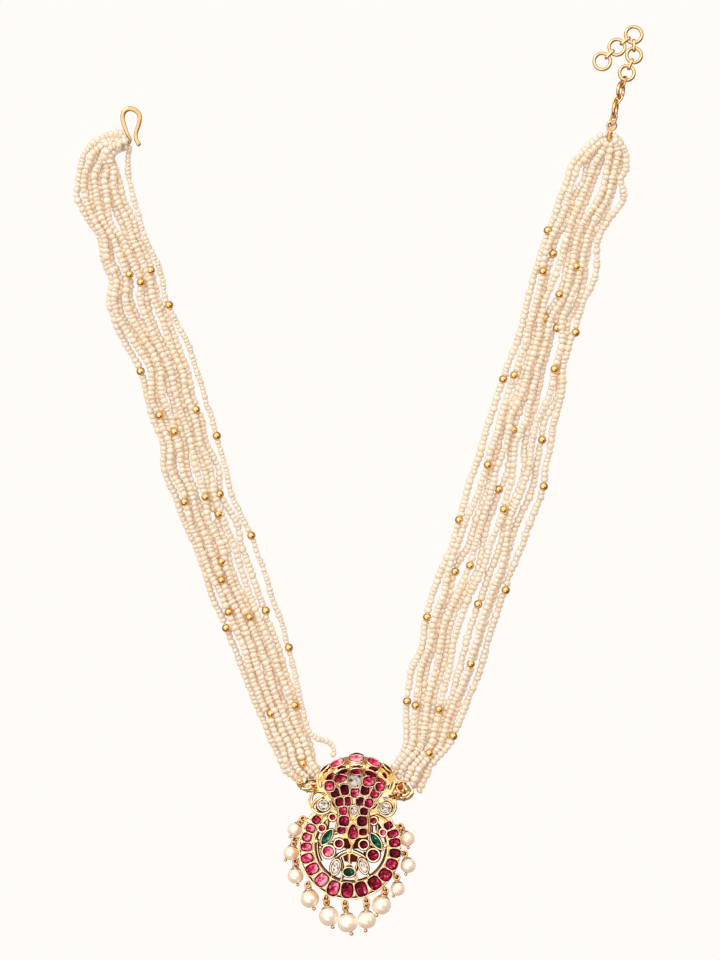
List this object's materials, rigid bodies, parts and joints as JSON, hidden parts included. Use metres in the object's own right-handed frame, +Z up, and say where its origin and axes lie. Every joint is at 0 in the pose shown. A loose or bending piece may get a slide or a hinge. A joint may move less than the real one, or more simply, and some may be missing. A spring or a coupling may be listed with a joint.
{
  "type": "multi-strand seed pearl necklace with a gem-set gold pendant",
  "caption": "Unfastened necklace: two bundles of seed pearl strings with gold balls, a gem-set gold pendant with pearl drops, a wire hook and an extension chain.",
  "frame": {"origin": "centre of the overall box, on the surface the necklace lies on", "axes": "+Z up from the surface; +Y from the pendant towards the open ends; +X towards the chain side"},
  "size_m": [0.189, 0.3025, 0.0113],
  "materials": {
    "seed_pearl": "satin pearl lustre",
    "drop_pearl": "glossy pearl lustre",
    "gold": "polished yellow gold",
    "ruby": "polished red gemstone",
    "emerald": "polished green gemstone",
    "white_stone": "polished clear gemstone"
  },
  "bodies": {
    "root": {"left_string_0": "seed_pearl", "left_string_1": "seed_pearl", "left_string_2": "seed_pearl", "left_string_3": "seed_pearl", "left_string_4": "seed_pearl", "left_string_5": "seed_pearl", "left_string_6": "seed_pearl", "left_string_7": "seed_pearl", "left_string_8": "seed_pearl", "left_string_9": "seed_pearl", "right_string_0": "seed_pearl", "right_string_1": "seed_pearl", "right_string_2": "seed_pearl", "right_string_3": "seed_pearl", "right_string_4": "seed_pearl", "right_string_5": "seed_pearl", "right_string_6": "seed_pearl", "right_string_7": "seed_pearl", "right_string_8": "seed_pearl", "right_string_9": "seed_pearl", "hook": "gold", "chain_ring_0": "gold", "chain_ring_1": "gold", "chain_ring_2": "gold", "chain_ring_3": "gold", "chain_ring_4": "gold", "chain_ring_5": "gold", "chain_ring_6": "gold", "small_ring": "gold", "chain_links": "gold", "end_crimp": "gold", "pendant_frame": "gold", "band_rubies": "ruby", "fan_rubies": "ruby", "arch_rubies": "ruby", "openwork_rubies": "ruby", "emeralds": "emerald", "white_stones": "white_stone", "drop_pearl_0": "drop_pearl", "drop_pearl_1": "drop_pearl", "drop_pearl_2": "drop_pearl", "drop_pearl_3": "drop_pearl", "drop_pearl_4": "drop_pearl", "drop_pearl_5": "drop_pearl", "drop_pearl_6": "drop_pearl", "drop_pearl_7": "drop_pearl", "drop_pearl_8": "drop_pearl", "drop_pearl_9": "drop_pearl", "drop_pearl_10": "drop_pearl", "drop_fittings": "gold"}
  },
  "joints": []
}
